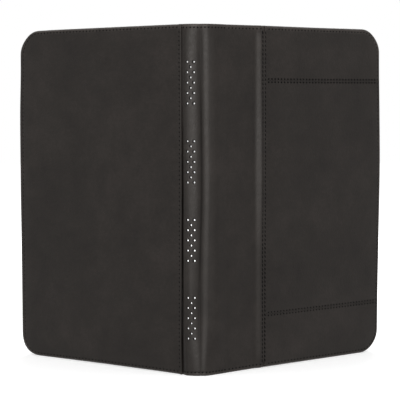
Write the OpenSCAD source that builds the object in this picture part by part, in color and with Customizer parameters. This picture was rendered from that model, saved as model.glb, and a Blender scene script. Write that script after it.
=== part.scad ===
// Leather portfolio case that stands open like a book, spine forwards.
// A perforated soft spine joins two stiff covers along three vertical fold lines.
// +Z is up, -Y is the outside of the spine, and the origin is under the middle of the case.

/* [Covers] */
// Height of the case, along the spine
case_h = 315; // [260:1:380]
// Width of each cover, from its fold line to its outer edge
cover_w = 189; // [150:1:230]
// Radius of the covers' outer corners
corner_r = 22; // [14:0.5:30]
// Rounding of the covers' turned edges
edge_r = 2; // [1.7:0.1:2.3]
// Angle between the covers as the case stands
open_angle = 113; // [95:1:140]

/* [Layers] */
// Thickness of the outer leather
leather_t = 1.3; // [1.1:0.05:1.6]
// Thickness of the stiffening boards
board_t = 2; // [1.6:0.1:3]
// Thickness of the lining
lining_t = 0.8; // [0.5:0.05:1.1]
// Width of the leather that is turned in round the edges
turn_in = 10; // [6:0.5:13]
// Room round the boards and padding inside the leather
fit = 0.15; // [0.1:0.05:0.3]

/* [Spine] */
// Width of the spine between the back cover's fold line and the main fold
spine_back_w = 15.4; // [14:0.1:22]
// Width of the spine between the main fold and the front cover's fold line
spine_front_w = 23; // [18:0.5:30]
// Radius of the soft main fold, at the middle of the leather
fold_r = 13; // [9:0.5:15]
// Room between the two leather edges that meet at a fold line
fold_gap = 0.3; // [0.2:0.05:0.4]
// Distance from a fold line to the stiff layers of a cover
hinge_set = 4; // [3:0.5:7]
// Distance from a fold line to the edges of the spine's lining
lining_set = 1.1; // [1:0.1:2]
// Width of the spine leather's tongue under the back cover's edge
tongue_w = 15; // [8:0.5:25]
// Distance from the back fold line to the back cover's leather edge
edge_set = 1.8; // [0.9:0.1:2.6]
// Rounding of the spine's upper and lower leather edges
wrap_edge_r = 0.5; // [0.3:0.05:0.5]

/* [Perforations] */
// Diameter of the punched holes
hole_d = 2.6; // [1.5:0.1:3]
// Number of groups of holes
groups = 4; // [1:1:4]
// Distance between the groups' centres
group_pitch = 70.4; // [60:0.1:75]
// Number of rows of two holes in a group
pair_rows = 5; // [2:1:5]
// Distance between rows of two holes
row_pitch = 9.2; // [7:0.1:11]
// Distance between the two holes of a row
pair_gap = 7.1; // [6:0.1:7.6]
// Distance from the back fold line to the middle of the groups
holes_set = 6.9; // [6.6:0.1:8]

/* [Front panels] */
// Width of the band, from the front fold line to the upright seam
band_w = 45.3; // [35:0.1:60]
// Height of the top and bottom strips
strip_h = 49.5; // [35:0.5:70]
// Width of the leather folded under at the seams
hem_w = 6; // [4:0.5:9]
// Width of the slope where the band rises to the seam
rise_w = 6.5; // [4:0.5:9]
// Width of the level leather between the slope and the seam
land_w = 3.6; // [3:0.1:7]
// Gap that shows as the seam line
seam_gap = 0.3; // [0.2:0.05:0.5]
// Rounding of the band's upper and lower turned edges
band_edge_r = 1.6; // [1.2:0.1:1.8]

/* [Stitching] */
// Distance from the edges to the stitch line
stitch_set = 3.2; // [2.8:0.1:4]
// Distance from a seam to the stitch rows beside it
row_set = 1.45; // [1:0.05:2.2]
// Width of the valley that a stitch row draws into the leather
valley_w = 0.9; // [0.6:0.05:1.2]
// Depth of that valley
valley_d = 0.25; // [0.1:0.05:0.4]

/* [Corner straps] */
// Width of the elastic corner straps
strap_w = 20; // [12:0.5:28]
// Thickness of the elastic corner straps
strap_t = 1.2; // [0.8:0.1:2]
// Distance from a corner to the strap's inner edge, along the cover's edge
strap_reach = 62; // [50:1:80]
// Distance from the cover's edges to the straps' ends
strap_margin = 5; // [4:0.5:8]

/* [Hidden] */
$fn = 64;
past = 1;                                    // how far a cut runs past what it cuts
bead_relief = 0.05;                          // step beside the rounded bead at a fold line
rise_steps = 4;                              // pieces of the band's slope
rise_fn = 24;                                // sides of the rounded corners on the slope
skin = 0.01;                                 // thickness of the slope's stations
strap_angle = 45;                            // slant of the straps across their corners

lean = (180 - open_angle) / 2;               // turn of each cover away from the X axis
wrap_n = leather_t;                          // depth of the wrap's outer face below the panels' face
wrap_mid = wrap_n + leather_t / 2;           // depth of the wrap's middle, where its fold lines lie
wrap_in = wrap_n + leather_t;                // depth of the wrap's inner face, on the boards
board_in = wrap_in + board_t;                // depth of the boards' inner face
face_in = board_in + lining_t;               // depth of the covers' inner face
axis_n = wrap_mid + fold_r * (1 - cos(lean));    // depth of the main fold line
bend_u = fold_r * sin(lean);                 // where the soft fold meets the flat spine
bead_r = leather_t / 2 - bead_relief;        // rounded leather edge at a fold line
socket_r = leather_t / 2 + fold_gap;         // hollow leather edge that faces it
back_edge_u = spine_back_w + edge_set;       // edge of the back cover's outer leather
back_w = spine_back_w + cover_w;             // main fold to the back cover's outer edge
front_w = spine_front_w + cover_w;           // main fold to the front cover's outer edge
seam_u = spine_front_w + band_w;             // main fold to the upright seam
land_u = seam_u - land_w;                    // top of the band's slope
rise_u = land_u - rise_w;                    // foot of the band's slope

// Half widths and depth of the standing case, which put the origin under its middle
function reach_x(w) = (w - edge_r) * cos(lean) + (axis_n - edge_r) * sin(lean) + edge_r;
function reach_y(w) = (w - edge_r) * sin(lean) + (face_in - edge_r - axis_n) * cos(lean) + edge_r;
middle_x = (reach_x(front_w) - reach_x(back_w)) / 2;
middle_y = (reach_y(max(front_w, back_w)) - leather_t / 2) / 2;

leather_colour = "#363432";
lining_colour = "#4a4744";
board_colour = "#8d8579";
padding_colour = "#6e6a64";
strap_colour = "#1c1c1c";

// Places: a half of the case is drawn flat, with X from the main fold to its outer edge (u),
// Y from its outer face inwards (n) and Z up, and is then turned about the main fold line.

module on_front() {
  translate([-middle_x, -middle_y, 0])
    rotate([0, 0, lean])
      translate([0, -axis_n, 0])
        children();
}

module on_back() {
  translate([-middle_x, -middle_y, 0])
    mirror([1, 0, 0])
      rotate([0, 0, lean])
        translate([0, -axis_n, 0])
          children();
}

// Flat sheet between two depths, from an outline in u and z
module sheet(n0, n1) {
  translate([0, n1, 0])
    rotate([90, 0, 0])
      linear_extrude(n1 - n0)
        children();
}

// Run along u of a section drawn in n and z
module along_u(u0, u1) {
  translate([u0, 0, 0])
    rotate([90, 0, 90])
      linear_extrude(u1 - u0)
        children();
}

// Outline of a cover from u0 to u1, drawn in by a margin at its three outer edges
module outline(u0, u1, margin) {
  r = corner_r - margin;
  end_u = u1 - margin;
  translate([u0, margin])
    square([end_u - r - u0, case_h - 2 * margin]);
  translate([u0, corner_r])
    square([end_u - u0, case_h - 2 * corner_r]);
  for (z = [corner_r, case_h - corner_r])
    translate([end_u - r, z])
      circle(r);
}

// Section in n and z up to a level cut, with a rounded lower end
module foot(n0, n1, r, high) {
  translate([n0, r])
    square([n1 - n0, high - r]);
  translate([n0 + r, 0])
    square([n1 - n0 - 2 * r, high]);
  for (n = [n0 + r, n1 - r])
    translate([n, r])
      circle(r);
}

// Upright bar section in n and z, with rounded upper and lower ends
module bar(n0, n1, r) {
  foot(n0, n1, r, case_h - r);
  translate([0, case_h])
    mirror([0, 1])
      foot(n0, n1, r, case_h - r);
}

// Section of a turned edge, from the corner's centre out to the edge
module edge_profile(n0, n1) {
  translate([0, n0])
    square([corner_r - edge_r, n1 - n0]);
  translate([0, n0 + edge_r])
    square([corner_r, n1 - n0 - 2 * edge_r]);
  for (n = [n0 + edge_r, n1 - edge_r])
    translate([corner_r - edge_r, n])
      circle(edge_r);
}

// Cover blank with three rounded edges and two round corners
module turned_slab(u0, u1) {
  along_u(u0, u1 - corner_r)
    bar(0, face_in, edge_r);
  turned_side(u1, corner_r, case_h - corner_r);
  turned_corner(u1);
  upper(case_h)
    turned_corner(u1);
}

// Lower end of a cover blank, up to a level cut
module turned_strip(u0, u1, high) {
  along_u(u0, u1 - corner_r)
    foot(0, face_in, edge_r, high);
  turned_side(u1, corner_r, high);
  turned_corner(u1);
}

module turned_side(u1, low, high) {
  translate([u1 - corner_r, 0, low])
    linear_extrude(high - low)
      edge_profile(0, face_in);
}

module turned_corner(u1) {
  translate([u1 - corner_r, 0, corner_r])
    rotate([-90, 0, 0])
      rotate_extrude(angle = 90)
        edge_profile(0, face_in);
}

// Same shape at the other end of a piece this high
module upper(high) {
  translate([0, 0, high])
    mirror([0, 0, 1])
      children();
}

// Space inside a cover's leather for its padding, board and lining
module cover_hollow(u0, u1) {
  sheet(wrap_in, board_in)
    outline(u0, u1, leather_t);
  sheet(board_in, face_in + past)
    outline(u0, u1, turn_in);
}

// Space at a fold line, where a cover's stiff layers are left out
module hinge_space(fold_u) {
  translate([fold_u - past, wrap_in, -past])
    cube([hinge_set + past, face_in, case_h + 2 * past]);
}

// Cylinder along a fold line
module fold_line(u, n, r, margin) {
  translate([u, n, margin])
    cylinder(r = r, h = case_h - 2 * margin);
}

// Valleys of the stitch rows, drawn in u and z on a panel's outer face

// Row round a cover's three outer edges
module edge_row(u0, u1) {
  difference() {
    outline(u0, u1, stitch_set - valley_w / 2);
    outline(u0 - past, u1, stitch_set + valley_w / 2);
  }
}

// Upright row from the lower stitch line to the upper one
module upright_row(u) {
  translate([u - valley_w / 2, stitch_set])
    square([valley_w, case_h - 2 * stitch_set]);
}

module level_row(u0, u1, z) {
  translate([u0, z - valley_w / 2])
    square([u1 - u0, valley_w]);
}

// Covers' inner layers

module board(fold_u, w) {
  sheet(wrap_in, board_in)
    outline(fold_u + hinge_set + lining_t, w, leather_t + fit);
}

// Lining let into the turned-in border, and turned down over the board at the fold line
module cover_lining(fold_u, w) {
  sheet(board_in, face_in)
    outline(fold_u + hinge_set, w, turn_in + fit);
  translate([fold_u + hinge_set, wrap_in, turn_in + fit])
    cube([lining_t, board_t, case_h - 2 * (turn_in + fit)]);
}

// Elastic strap across a lower outer corner, with its ends on the turned-in border
module strap(w) {
  sheet(face_in, face_in + strap_t)
    intersection() {
      outline(w - strap_reach - strap_w, w, strap_margin);
      translate([w - strap_reach, 0])
        rotate(strap_angle)
          translate([0, -strap_w])
            square([2 * strap_reach, strap_w]);
    }
}

// Spine layers: a section in n and z runs along the flat spine and round the soft fold

module spine_run(w, fold_set, end_set) {
  set_angle = fold_set / (fold_r - leather_t / 2) * 180 / PI;
  along_u(bend_u, w - end_set)
    children();
  translate([bend_u, wrap_mid + fold_r, 0])
    mirror([1, 0, 0])
      rotate([0, 0, -90])
        rotate_extrude(angle = lean - set_angle)
          translate([wrap_mid + fold_r, 0])
            mirror([1, 0, 0])
              children();
}

// Leather of a spine half, turned in at its upper and lower edges
module spine_leather(w) {
  spine_run(w, 0, 0)
    difference() {
      bar(wrap_n, wrap_in, wrap_edge_r);
      for (z = [stitch_set, case_h - stitch_set])
        translate([wrap_n - past, z - valley_w / 2])
          square([past + valley_d, valley_w]);
    }
  spine_run(w, lining_set, lining_set)
    for (z = [wrap_edge_r, case_h - turn_in])
      translate([wrap_in, z])
        square([lining_t, turn_in - wrap_edge_r]);
}

module spine_lining(w) {
  spine_run(w, lining_set, lining_set)
    translate([wrap_in, turn_in + fit])
      square([lining_t, case_h - 2 * (turn_in + fit)]);
}

// Punched holes: groups of staggered rows, two holes and one hole by turns
module perforations() {
  for (g = [0 : groups - 1], i = [0 : 2 * pair_rows - 2])
    for (side = i % 2 == 0 ? [-1, 1] : [0])
      translate([
        spine_back_w - holes_set + side * pair_gap / 2,
        wrap_n - past,
        case_h / 2 + (g - (groups - 1) / 2) * group_pitch + (i - pair_rows + 1) * row_pitch / 2
      ])
        rotate([-90, 0, 0])
          cylinder(d = hole_d, h = leather_t + lining_t + 2 * past);
}

// Front panels: parts of one padded cover blank, with their edges folded under at the seams

module strip_padding(room) {
  sheet(wrap_n, wrap_in)
    intersection() {
      outline(seam_u + hem_w + room, front_w, leather_t + room);
      square([front_w, strip_h - hem_w - room]);
    }
}

module centre_padding(room) {
  sheet(wrap_n, wrap_in)
    translate([seam_u + hem_w + room, strip_h + hem_w + room])
      square([
        cover_w - band_w - hem_w - leather_t - 2 * room,
        case_h - 2 * (strip_h + hem_w + room)
      ]);
}

module front_rows() {
  sheet(-past, valley_d) {
    edge_row(seam_u, front_w);
    upright_row(seam_u + row_set);
    for (z = [strip_h, case_h - strip_h], side = [-1, 1])
      level_row(seam_u + row_set, front_w - stitch_set, z + side * row_set);
  }
}

module strip_panel() {
  difference() {
    turned_strip(seam_u + seam_gap / 2, front_w, strip_h - seam_gap / 2);
    cover_hollow(seam_u - past, front_w);
    strip_padding(0);
    front_rows();
  }
}

module centre_panel() {
  low = strip_h + seam_gap / 2;
  difference() {
    translate([0, 0, low])
      linear_extrude(case_h - 2 * low)
        centre_section();
    centre_padding(0);
    front_rows();
  }
}

// Section of the centre panel in u and n, which is the same all the way up
module centre_section() {
  difference() {
    union() {
      translate([seam_u + seam_gap / 2, 0])
        square([cover_w - band_w - corner_r - seam_gap / 2, face_in]);
      translate([front_w - corner_r, 0])
        edge_profile(0, face_in);
    }
    translate([seam_u - past, wrap_in])
      square([cover_w - band_w - leather_t + past, board_t]);
    translate([seam_u - past, board_in])
      square([cover_w - band_w - turn_in + past, lining_t + past]);
  }
}

// Depth of the band's outer face along its slope, from 0 at the foot to 1 at the top
function rise_n(t) = wrap_n * (1 + cos(180 * t)) / 2;

module rise_station(i) {
  t = i / rise_steps;
  along_u(rise_u + t * rise_w - (i > 0 ? skin : 0), rise_u + t * rise_w + (i > 0 ? 0 : skin))
    bar(rise_n(t), face_in, band_edge_r + t * (edge_r - band_edge_r), $fn = rise_fn);
}

// Back cover

module back_leather() {
  color(leather_colour)
    on_back()
      difference() {
        turned_slab(back_edge_u, back_w);
        sheet(wrap_n, wrap_in)
          outline(back_edge_u - past, back_w, leather_t);
        cover_hollow(back_edge_u - past, back_w);
        hinge_space(spine_back_w);
        sheet(-past, valley_d) {
          edge_row(back_edge_u - past, back_w);
          upright_row(back_edge_u + stitch_set);
        }
      }
}

module back_tongue() {
  color(leather_colour)
    on_back()
      difference() {
        translate([spine_back_w, wrap_n, leather_t + fit])
          cube([tongue_w, leather_t, case_h - 2 * (leather_t + fit)]);
        fold_line(spine_back_w, wrap_mid, socket_r, 0);
      }
}

module back_padding() {
  color(padding_colour)
    on_back()
      sheet(wrap_n, wrap_in)
        outline(spine_back_w + tongue_w + fit, back_w, leather_t + fit);
}

module back_board() {
  color(board_colour)
    on_back()
      board(spine_back_w, back_w);
}

module back_lining() {
  color(lining_colour)
    on_back()
      cover_lining(spine_back_w, back_w);
}

module back_strap_top() {
  color(strap_colour)
    on_back()
      upper(case_h)
        strap(back_w);
}

module back_strap_bottom() {
  color(strap_colour)
    on_back()
      strap(back_w);
}

// Spine

module spine_back_leather() {
  color(leather_colour)
    on_back()
      difference() {
        union() {
          spine_leather(spine_back_w);
          fold_line(spine_back_w, wrap_mid, bead_r, wrap_edge_r);
          fold_line(0, axis_n, bead_r, wrap_edge_r);
        }
        perforations();
      }
}

module spine_back_lining() {
  color(lining_colour)
    on_back()
      difference() {
        spine_lining(spine_back_w);
        perforations();
      }
}

module spine_front_leather() {
  color(leather_colour)
    on_front()
      difference() {
        union() {
          spine_leather(spine_front_w);
          fold_line(spine_front_w, wrap_mid, bead_r, wrap_edge_r);
        }
        fold_line(0, axis_n, socket_r, -past);
      }
}

module spine_front_lining() {
  color(lining_colour)
    on_front()
      spine_lining(spine_front_w);
}

// Front cover

module front_band() {
  color(leather_colour)
    on_front()
      difference() {
        union() {
          along_u(spine_front_w, rise_u)
            bar(wrap_n, face_in, band_edge_r);
          for (i = [0 : rise_steps - 1])
            hull() {
              rise_station(i);
              rise_station(i + 1);
            }
          along_u(land_u, seam_u - seam_gap / 2)
            bar(0, face_in, edge_r);
        }
        cover_hollow(spine_front_w - past, front_w);
        hinge_space(spine_front_w);
        fold_line(spine_front_w, wrap_mid, socket_r, -past);
        band_rows();
      }
}

// Rows along the band's upper and lower edges, up its slope, and beside the seam
module band_rows() {
  for (z = [stitch_set, case_h - stitch_set])
    translate([0, 0, z - valley_w / 2])
      linear_extrude(valley_w)
        polygon([
          [spine_front_w - past, wrap_n - past],
          [spine_front_w - past, wrap_n + valley_d],
          [rise_u, wrap_n + valley_d],
          [land_u, valley_d],
          [seam_u, valley_d],
          [seam_u, -past],
          [land_u, -past]
        ]);
  sheet(-past, valley_d)
    upright_row(seam_u - row_set);
}

module front_top_panel() {
  color(leather_colour)
    on_front()
      upper(case_h)
        strip_panel();
}

module front_centre_panel() {
  color(leather_colour)
    on_front()
      centre_panel();
}

module front_bottom_panel() {
  color(leather_colour)
    on_front()
      strip_panel();
}

module front_top_padding() {
  color(padding_colour)
    on_front()
      upper(case_h)
        strip_padding(fit);
}

module front_centre_padding() {
  color(padding_colour)
    on_front()
      centre_padding(fit);
}

module front_bottom_padding() {
  color(padding_colour)
    on_front()
      strip_padding(fit);
}

module front_board() {
  color(board_colour)
    on_front()
      board(spine_front_w, front_w);
}

module front_lining() {
  color(lining_colour)
    on_front()
      cover_lining(spine_front_w, front_w);
}

module front_strap_top() {
  color(strap_colour)
    on_front()
      upper(case_h)
        strap(front_w);
}

module front_strap_bottom() {
  color(strap_colour)
    on_front()
      strap(front_w);
}

back_leather();
back_tongue();
back_padding();
back_board();
back_lining();
back_strap_top();
back_strap_bottom();
spine_back_leather();
spine_back_lining();
spine_front_leather();
spine_front_lining();
front_band();
front_top_panel();
front_centre_panel();
front_bottom_panel();
front_top_padding();
front_centre_padding();
front_bottom_padding();
front_board();
front_lining();
front_strap_top();
front_strap_bottom();
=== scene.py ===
import math

import bmesh
import bpy
import numpy as np
from mathutils import Matrix, Vector, geometry


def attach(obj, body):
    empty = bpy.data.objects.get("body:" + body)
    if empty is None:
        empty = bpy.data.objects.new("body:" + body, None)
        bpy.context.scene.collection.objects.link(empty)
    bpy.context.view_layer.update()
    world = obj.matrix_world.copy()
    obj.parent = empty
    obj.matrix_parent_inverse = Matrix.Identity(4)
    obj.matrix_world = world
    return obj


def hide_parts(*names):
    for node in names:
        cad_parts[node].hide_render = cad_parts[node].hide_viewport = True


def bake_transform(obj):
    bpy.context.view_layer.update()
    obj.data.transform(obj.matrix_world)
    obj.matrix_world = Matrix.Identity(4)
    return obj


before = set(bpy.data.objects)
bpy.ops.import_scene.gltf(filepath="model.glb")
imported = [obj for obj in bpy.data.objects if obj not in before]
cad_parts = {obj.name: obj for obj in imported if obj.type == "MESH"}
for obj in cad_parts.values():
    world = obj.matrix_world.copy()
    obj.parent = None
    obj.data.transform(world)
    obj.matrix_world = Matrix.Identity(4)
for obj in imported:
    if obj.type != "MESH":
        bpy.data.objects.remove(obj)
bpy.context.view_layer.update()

# sizes in mm, as in the part's construction: u runs out on a cover from the middle fold line, z up
case = {
    "height": 315.0,
    "lean": 33.5,  # each cover leans back from the photograph's plane
    "origin": (3.1688, 58.3326),  # the frame's x and y, from the middle fold line
    "hide": 1.3,  # thickness of the leather
    "foldRadius": 13.0,  # the soft middle fold, at the middle of the hide
    "wrapDepth": 1.95,  # the middle of the spine's hide, from the outside of the covers
    "backOuter": 204.4,  # from the middle fold line to the back cover's outer edge
    "frontOuter": 212.0,
    "corner": 22.0,
    "innerFace": 5.4,  # depth of the inside, from the outside of the leather
    "turnIn": 10.0,
    "stitchSet": 3.2,  # from the upper and lower edges, on the spine and the band
    "frontRowSet": 3.2,  # the same on the covers
    "backRowSet": 2.8,
    "frontStitchSet": 3.6,  # from the outer edges
    "backStitchSet": 4.6,
    "backFlap": 17.2,  # the back leather's edge beside the spine
    "backStiff": 19.4,  # where the boards start
    "frontStiff": 27.0,
    "seam": 69.4,  # between the front band and the three panels
    "seamGap": 0.03,  # the cut edges stand this far off a seam's middle
    "lowSeam": 49.5,
    "highSeam": 265.1,
    # handmade edges aren't quite straight: how far the outer edges stand out at each height
    "frontBow": [(0, -0.9), (44, -0.8), (99, 0.0), (153, 0.8),
                 (178, 1.1), (235, 0.25), (281, -0.8), (315, -1.0)],
    "backBow": [(0, 0.4), (44, 0.5), (99, 0.4), (153, 0.5),
                (200, 0.3), (235, 0.0), (281, -1.6), (315, -1.7)],
    "bowRun": (70, 135),  # the bow grows from this u, over this run, and a little past it
    "bowMost": 1.1,
    # how far the upper and lower edges lift, at each distance from the middle fold line
    "frontTop": [(27, 0), (50, 0.15), (68, 0.25), (133, 0.35), (185, 0.7), (212, 0.8)],
    "frontLow": [(27, 0), (50, 0.25), (68, 0.35), (120, 0.2), (170, 0), (212, 0)],
    "backTop": [(17, 0), (60, -0.05), (125, -0.2), (170, -0.4), (188, -0.75), (205, -1.2)],
    "backLow": [(17, 0), (35, 0.25), (60, 0.38), (125, 0.45), (160, 0.2), (195, 0), (205, 0)],
    # how far the low and high corners swell out, as no two are cut alike
    "frontCorners": (-0.2, -0.8),
    "backCorners": (1.3, -0.8),
    "swellRun": (6, 12),  # the swell grows from this far off a corner's centre, over this run
    # how far the back leather's edge beside the spine runs off, at each height
    "flapDrift": [(0, 0.6), (35, 1.0), (65, 0.75), (95, 0.5),
                  (125, 0.42), (155, 0.15), (200, 0.0), (315, 0.0)],
    "driftRun": (17, 30),  # that fades from this u, over this run
    "driftDeep": 2,  # and over this depth under the hide
}
height, hide, foldRadius = case["height"], case["hide"], case["foldRadius"]
shiftX, shiftY = case["origin"]
lean = math.radians(case["lean"])
leanCos, leanSin = math.cos(lean), math.sin(lean)
foldDepth = case["wrapDepth"] + foldRadius * (1 - leanCos)
bendAt, arcLength = foldRadius * leanSin, foldRadius * lean
quarterTurn = np.radians(range(0, 91, 15))  # steps round a turned edge
cornerBend = np.radians(np.linspace(0, 90, 11)[1:-1])  # and round a cover's corner, without its ends


def asArrays(*values):
    return np.broadcast_arrays(*(np.asarray(v, float) for v in values))


def ease(x, start=0, run=1):  # 0 up to start, then smoothly to 1 over the run
    x = np.clip((x - start) / run, 0, 1)
    return x * x * (3 - 2 * x)


def roundOver(distance, radius):  # how far an edge drops at a distance from it
    inside = np.clip(radius - np.asarray(distance, float), 0, radius)
    return radius - np.sqrt(radius * radius - inside * inside)


def curveThrough(points, x):  # smooth curve through a few (place, value) points
    xs, ys = np.array(points, float).T
    slope = np.gradient(ys, xs)
    x = np.clip(np.asarray(x, float), xs[0], xs[-1])
    i = np.clip(np.searchsorted(xs, x) - 1, 0, len(xs) - 2)
    step = xs[i + 1] - xs[i]
    t = (x - xs[i]) / step
    first = (2 * t**3 - 3 * t**2 + 1) * ys[i] + (t**3 - 2 * t**2 + t) * step * slope[i]
    return first + (3 * t**2 - 2 * t**3) * ys[i + 1] + (t**3 - t**2) * step * slope[i + 1]


def placeCover(side, u, n, z):  # side 1 is the front cover, -1 the back; n is the depth from its outside
    u, n, z = asArrays(u, n, z)
    word, corner = "front" if side > 0 else "back", case["corner"]
    isLow = z < height / 2
    across, up = u - case[word + "Outer"] + corner, np.maximum(corner - z, z - height + corner)
    reach = np.maximum(np.hypot(across, up), 1e-6)
    (swellFrom, swellLong), (bowFrom, bowLong) = case["swellRun"], case["bowRun"]
    swell = np.where(isLow, *case[word + "Corners"]) * np.clip((reach - swellFrom) / swellLong, 0, 1)
    swell = np.where((across > 0) & (up > 0), swell * (2 * across * up / reach**2) ** 2 / reach, 0)
    bow = np.clip((u - bowFrom) / bowLong, 0, case["bowMost"]) * curveThrough(case[word + "Bow"], z)
    lift = curveThrough(case[word + "Low"], u) * (1 - z / height)
    lift = lift + curveThrough(case[word + "Top"], u) * z / height
    if side < 0:  # only the outer hide runs off beside the spine, not what is under it
        drift = (1 - ease(n, hide, case["driftDeep"])) * curveThrough(case["flapDrift"], z)
        u = u + (1 - ease(u, *case["driftRun"])) * drift
    u = u + bow + swell * across
    z = z + lift + swell * up * np.where(isLow, -1, 1)
    x = side * (u * leanCos - (n - foldDepth) * leanSin) - shiftX
    y = u * leanSin + (n - foldDepth) * leanCos - shiftY
    return np.stack([x, y, z], axis=-1) / 1000


def placeWrap(s, out, z):  # s runs along the hide from the middle fold line, below 0 on the back
    s, out, z = asArrays(s, out, z)
    side, along = np.where(s < 0, -1.0, 1.0), np.abs(s)
    angle = np.minimum(along, arcLength) / foldRadius
    rest = np.maximum(along - arcLength, 0)
    x = side * (foldRadius * np.sin(angle) + rest * leanCos + out * np.sin(angle)) - shiftX
    y = foldRadius * (1 - np.cos(angle)) + rest * leanSin - out * np.cos(angle) - shiftY
    return np.stack([x, y, z], axis=-1) / 1000


def wrapOf(u):  # the length along the hide at a distance u on a cover
    return u - bendAt + arcLength


def coverU(side, x, y):  # back from a place in mm to the distance u on a cover
    return side * (x + shiftX) * leanCos + (y + shiftY) * leanSin


def coverOutline(us, zs, outer, inset, bend=cornerBend, sideInset=None, low=True, high=True):
    # (u, z) round a cover's free edges, at an inset: along the bottom, round the corners, back along the top
    corner, centre = case["corner"], outer - case["corner"]
    endRadius = corner - inset
    sideRadius = endRadius if sideInset is None else corner - sideInset
    parts = [np.stack([np.full(len(zs), centre + sideRadius), zs], 1)]
    if low:
        turn = np.stack([centre + sideRadius * np.sin(bend), corner - endRadius * np.cos(bend)], 1)
        parts = [np.stack([us, np.full(len(us), inset)], 1), turn] + parts
    if high:
        turn = np.stack([centre + sideRadius * np.cos(bend), height - corner + endRadius * np.sin(bend)], 1)
        parts += [turn, np.stack([us[::-1], np.full(len(us), height - inset)], 1)]
    return np.concatenate(parts)


waves = {"across": 17.0, "up": 23.0, "sway": 1.3, "swayUp": 41.0, "slowAcross": 39.0, "slowUp": 57.0}  # mm


def handWave(u, z, phase):  # slight unevenness of hide over foam, from -1 to 1
    sway = waves["sway"] * np.sin(z / waves["swayUp"] + phase)
    wave = np.sin(u / waves["across"] + sway) * np.sin(z / waves["up"] + phase)
    slow = np.sin(u / waves["slowAcross"] - z / waves["slowUp"] + 2 * phase)
    return 0.5 * wave + 0.5 * slow


def gridFaces(rows, columns, start):
    faces = []
    for r in range(rows - 1):
        for c in range(columns - 1):
            a = start + r * columns + c
            faces.append((a, a + 1, a + columns + 1, a + columns))
    return faces


wearAndHighlight = {
    "run": (0.8, 2.2),  # worn and painted highlight up to this far from the outer edges, then fading over this run
    "upper": 0.6,  # the upper edges get more, as a painted highlight of light from above: distances from them count less
}


def markWearAndHighlight(mesh):  # 1 at the outer edges of the hide, for their wear and a painted highlight, 0 from a few mm in
    x, y, z = np.array([v.co for v in mesh.vertices]).T * 1000
    side = np.where(x + shiftX > 0, 1, -1)
    u, corner = coverU(side, x, y), case["corner"]
    outer = np.where(side > 0, case["frontOuter"], case["backOuter"])
    level = np.where(z < height / 2, z, wearAndHighlight["upper"] * (height - z))
    across, up = u - outer + corner, corner - level
    inset = np.minimum(outer - u, level)
    inset = np.where((across > 0) & (up > 0), corner - np.hypot(across, up), inset)
    edgeWearAndHighlight = mesh.attributes.new("edgeWearAndHighlight", "FLOAT", "POINT")
    edgeWearAndHighlight.data.foreach_set("value", 1 - ease(inset, *wearAndHighlight["run"]))


def addObject(name, data):
    obj = bpy.data.objects.new(name, data)
    bpy.context.scene.collection.objects.link(obj)
    return obj


def addPiece(name, grids, material, extra=(), smoothAngle=60):
    # grids are (rows, columns, 3) arrays in metres, extra is more (points, faces)
    points, faces = [], []
    for grid in grids:
        faces += gridFaces(*grid.shape[:2], len(points))
        points += grid.reshape(-1, 3).tolist()
    for morePoints, moreFaces in extra:
        start = len(points)
        points += [list(p) for p in morePoints]
        faces += [tuple(start + i for i in f) for f in moreFaces]
    mesh = bpy.data.meshes.new(name)
    mesh.from_pydata(points, [], faces)
    work = bmesh.new()
    work.from_mesh(mesh)
    bmesh.ops.remove_doubles(work, verts=work.verts, dist=3e-6)
    bmesh.ops.dissolve_degenerate(work, edges=work.edges, dist=1e-7)
    bmesh.ops.recalc_face_normals(work, faces=work.faces)
    work.to_mesh(mesh)
    work.free()
    mesh.polygons.foreach_set("use_smooth", [True] * len(mesh.polygons))
    mesh.set_sharp_from_angle(angle=math.radians(smoothAngle))
    mesh.materials.append(material)
    if material == leather:
        markWearAndHighlight(mesh)
    return addObject(name, mesh)


print("camera, floor and light")
view = {
    "place": (-27.92, -1175.76, 243.71),
    "turn": 1.263,  # degrees
    "down": 4.336,
    "roll": -0.173,
    "focal": 1259.2,  # in pixels of the image
    "imageWide": 400,
    "sensor": 36,
}
turn, down, roll = (math.radians(view[k]) for k in ("turn", "down", "roll"))
ahead = Vector((math.sin(turn) * math.cos(down), math.cos(turn) * math.cos(down), -math.sin(down)))
right = Vector((math.cos(turn), -math.sin(turn), 0))
above = right.cross(ahead)
right, above = (
    math.cos(roll) * right + math.sin(roll) * above,
    math.cos(roll) * above - math.sin(roll) * right,
)
cameraData = bpy.data.cameras.new("camera")
cameraData.lens = view["sensor"] * view["focal"] / view["imageWide"]
cameraData.sensor_width = view["sensor"]
cameraData.clip_start = 0.01
camera = addObject("camera", cameraData)
place = Vector(view["place"]) / 1000
axes = [(right[i], above[i], -ahead[i], place[i]) for i in range(3)]
camera.matrix_world = Matrix(axes + [(0, 0, 0, 1)])
bpy.context.scene.camera = camera
bpy.context.scene.view_settings.view_transform = "Standard"


def toLinear(code):
    parts = [int(code[i:i + 2], 16) / 255 for i in (1, 3, 5)]
    return tuple(p / 12.92 if p <= 0.04045 else ((p + 0.055) / 1.055) ** 2.4 for p in parts) + (1.0,)


def addNode(tree, kind, links=None, **settings):
    # links: a socket's name or number to a value, to an output, or to a node for its first output
    node = tree.nodes.new("ShaderNode" + kind)
    for key, value in settings.items():
        setattr(node, key, value)
    for key, value in (links or {}).items():
        if isinstance(value, bpy.types.Node):
            value = value.outputs[0]
        if isinstance(value, bpy.types.NodeSocket):
            tree.links.new(value, node.inputs[key])
        else:
            node.inputs[key].default_value = value
    return node


def startMaterial(name):
    material = bpy.data.materials.new(name)
    material.use_nodes = True
    material.node_tree.nodes.clear()
    return material, material.node_tree


def setRamp(node, stops):
    ramp = node.color_ramp
    while len(ramp.elements) < len(stops):
        ramp.elements.new(0.5)
    for element, (position, colour) in zip(ramp.elements, stops):
        element.position = position
        element.color = toLinear(colour)


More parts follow.
